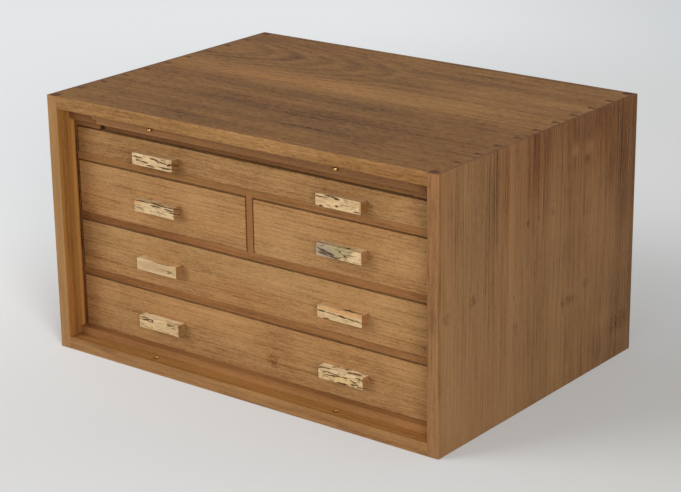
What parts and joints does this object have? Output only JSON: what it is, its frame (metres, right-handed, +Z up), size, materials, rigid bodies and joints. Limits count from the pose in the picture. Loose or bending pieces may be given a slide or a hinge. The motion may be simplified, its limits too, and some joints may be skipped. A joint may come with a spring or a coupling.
{
  "type": "tool chest",
  "caption": "Dovetailed wooden bench-top tool chest: full-width and half-width drawers with block pulls, and a panelled front cover stowed above the top drawer.",
  "frame": {"origin": "centre of the case's underside, on the surface the chest stands on", "axes": "+X to the right as seen from the front, along the chest's width; -Y is the front, where the drawers come out; +Z is up"},
  "size_m": [0.61, 0.432, 0.343],
  "materials": {
    "case_wood": "oiled, satin, mid-brown",
    "rail_wood": "oiled, satin, reddish brown",
    "drawer_front_wood": "oiled, satin, light brown",
    "drawer_box_wood": "pale, planed, waxed",
    "cover_wood": "oiled, satin, mid-brown",
    "spalted_wood": "cream with dark spalting lines, satin",
    "brass": "turned, bright",
    "screw_steel": "zinc plated"
  },
  "bodies": {
    "case": {"case_top": "case_wood", "case_bottom": "case_wood", "pin_bushes": "brass", "case_side_left": "case_wood", "case_side_right": "case_wood", "back_panel": "case_wood", "front_sill": "rail_wood", "rail_lower": "rail_wood", "rail_middle": "rail_wood", "rail_upper": "rail_wood", "rail_rear": "rail_wood", "centre_runner": "rail_wood", "centre_divider": "rail_wood", "drawer_runners_left": "rail_wood", "drawer_runners_right": "rail_wood", "slot_runner_left": "rail_wood", "slot_runner_right": "rail_wood", "slot_rail": "rail_wood", "drawer_stops": "rail_wood"},
    "cover": {"cover_stile_left": "cover_wood", "cover_stile_right": "cover_wood", "cover_rail_front": "cover_wood", "cover_rail_rear": "cover_wood", "cover_panel": "cover_wood", "cover_pins": "brass"},
    "drawer_top": {"drawer_top_side_left": "drawer_box_wood", "drawer_top_side_right": "drawer_box_wood", "drawer_top_front": "drawer_front_wood", "drawer_top_back": "drawer_box_wood", "drawer_top_bottom": "drawer_box_wood", "drawer_top_pulls": "spalted_wood", "drawer_top_pull_screws": "screw_steel"},
    "drawer_upper_left": {"drawer_upper_left_side_left": "drawer_box_wood", "drawer_upper_left_side_right": "drawer_box_wood", "drawer_upper_left_front": "drawer_front_wood", "drawer_upper_left_back": "drawer_box_wood", "drawer_upper_left_bottom": "drawer_box_wood", "drawer_upper_left_pull": "spalted_wood", "drawer_upper_left_pull_screws": "screw_steel"},
    "drawer_upper_right": {"drawer_upper_right_side_left": "drawer_box_wood", "drawer_upper_right_side_right": "drawer_box_wood", "drawer_upper_right_front": "drawer_front_wood", "drawer_upper_right_back": "drawer_box_wood", "drawer_upper_right_bottom": "drawer_box_wood", "drawer_upper_right_pull": "spalted_wood", "drawer_upper_right_pull_screws": "screw_steel"},
    "drawer_middle": {"drawer_middle_side_left": "drawer_box_wood", "drawer_middle_side_right": "drawer_box_wood", "drawer_middle_front": "drawer_front_wood", "drawer_middle_back": "drawer_box_wood", "drawer_middle_bottom": "drawer_box_wood", "drawer_middle_pulls": "spalted_wood", "drawer_middle_pull_screws": "screw_steel"},
    "drawer_bottom": {"drawer_bottom_side_left": "drawer_box_wood", "drawer_bottom_side_right": "drawer_box_wood", "drawer_bottom_front": "drawer_front_wood", "drawer_bottom_back": "drawer_box_wood", "drawer_bottom_bottom": "drawer_box_wood", "drawer_bottom_pulls": "spalted_wood", "drawer_bottom_pull_screws": "screw_steel"}
  },
  "joints": [
    {"name": "cover_slide", "type": "slide", "parent": "case", "child": "cover", "axis": [0, -1, 0], "range_m": [0, 0.28]},
    {"name": "drawer_top_slide", "type": "slide", "parent": "case", "child": "drawer_top", "axis": [0, -1, 0], "range_m": [0, 0.3]},
    {"name": "drawer_upper_left_slide", "type": "slide", "parent": "case", "child": "drawer_upper_left", "axis": [0, -1, 0], "range_m": [0, 0.3]},
    {"name": "drawer_upper_right_slide", "type": "slide", "parent": "case", "child": "drawer_upper_right", "axis": [0, -1, 0], "range_m": [0, 0.3]},
    {"name": "drawer_middle_slide", "type": "slide", "parent": "case", "child": "drawer_middle", "axis": [0, -1, 0], "range_m": [0, 0.3]},
    {"name": "drawer_bottom_slide", "type": "slide", "parent": "case", "child": "drawer_bottom", "axis": [0, -1, 0], "range_m": [0, 0.3]}
  ]
}
